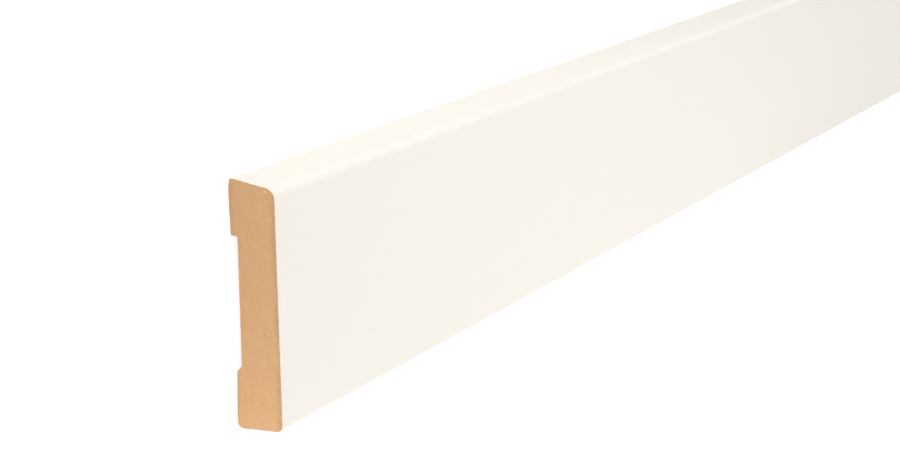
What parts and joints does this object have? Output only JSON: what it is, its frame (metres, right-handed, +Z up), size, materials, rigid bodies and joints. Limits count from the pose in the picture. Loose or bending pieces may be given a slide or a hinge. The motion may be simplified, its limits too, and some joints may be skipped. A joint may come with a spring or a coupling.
{
  "type": "architrave",
  "caption": "Length of architrave, a flat door casing moulding with rounded edges that lean in to the show face and a wide shallow relief in its back, primed cream, with bare sawn ends.",
  "frame": {"origin": "middle of the bounding box, at the height of the back, which lies on the floor", "axes": "+X along the length, towards the far end; +Y across the width, towards the outer edge, the one on the wall; +Z up, out of the show face"},
  "size_m": [2.1, 0.069, 0.0145],
  "materials": {
    "primed_fibreboard": "smooth eggshell primer, cream white",
    "bare_fibreboard": "sawn fibreboard, bare and matt"
  },
  "bodies": {
    "root": {"architrave": "primed_fibreboard"}
  },
  "joints": []
}
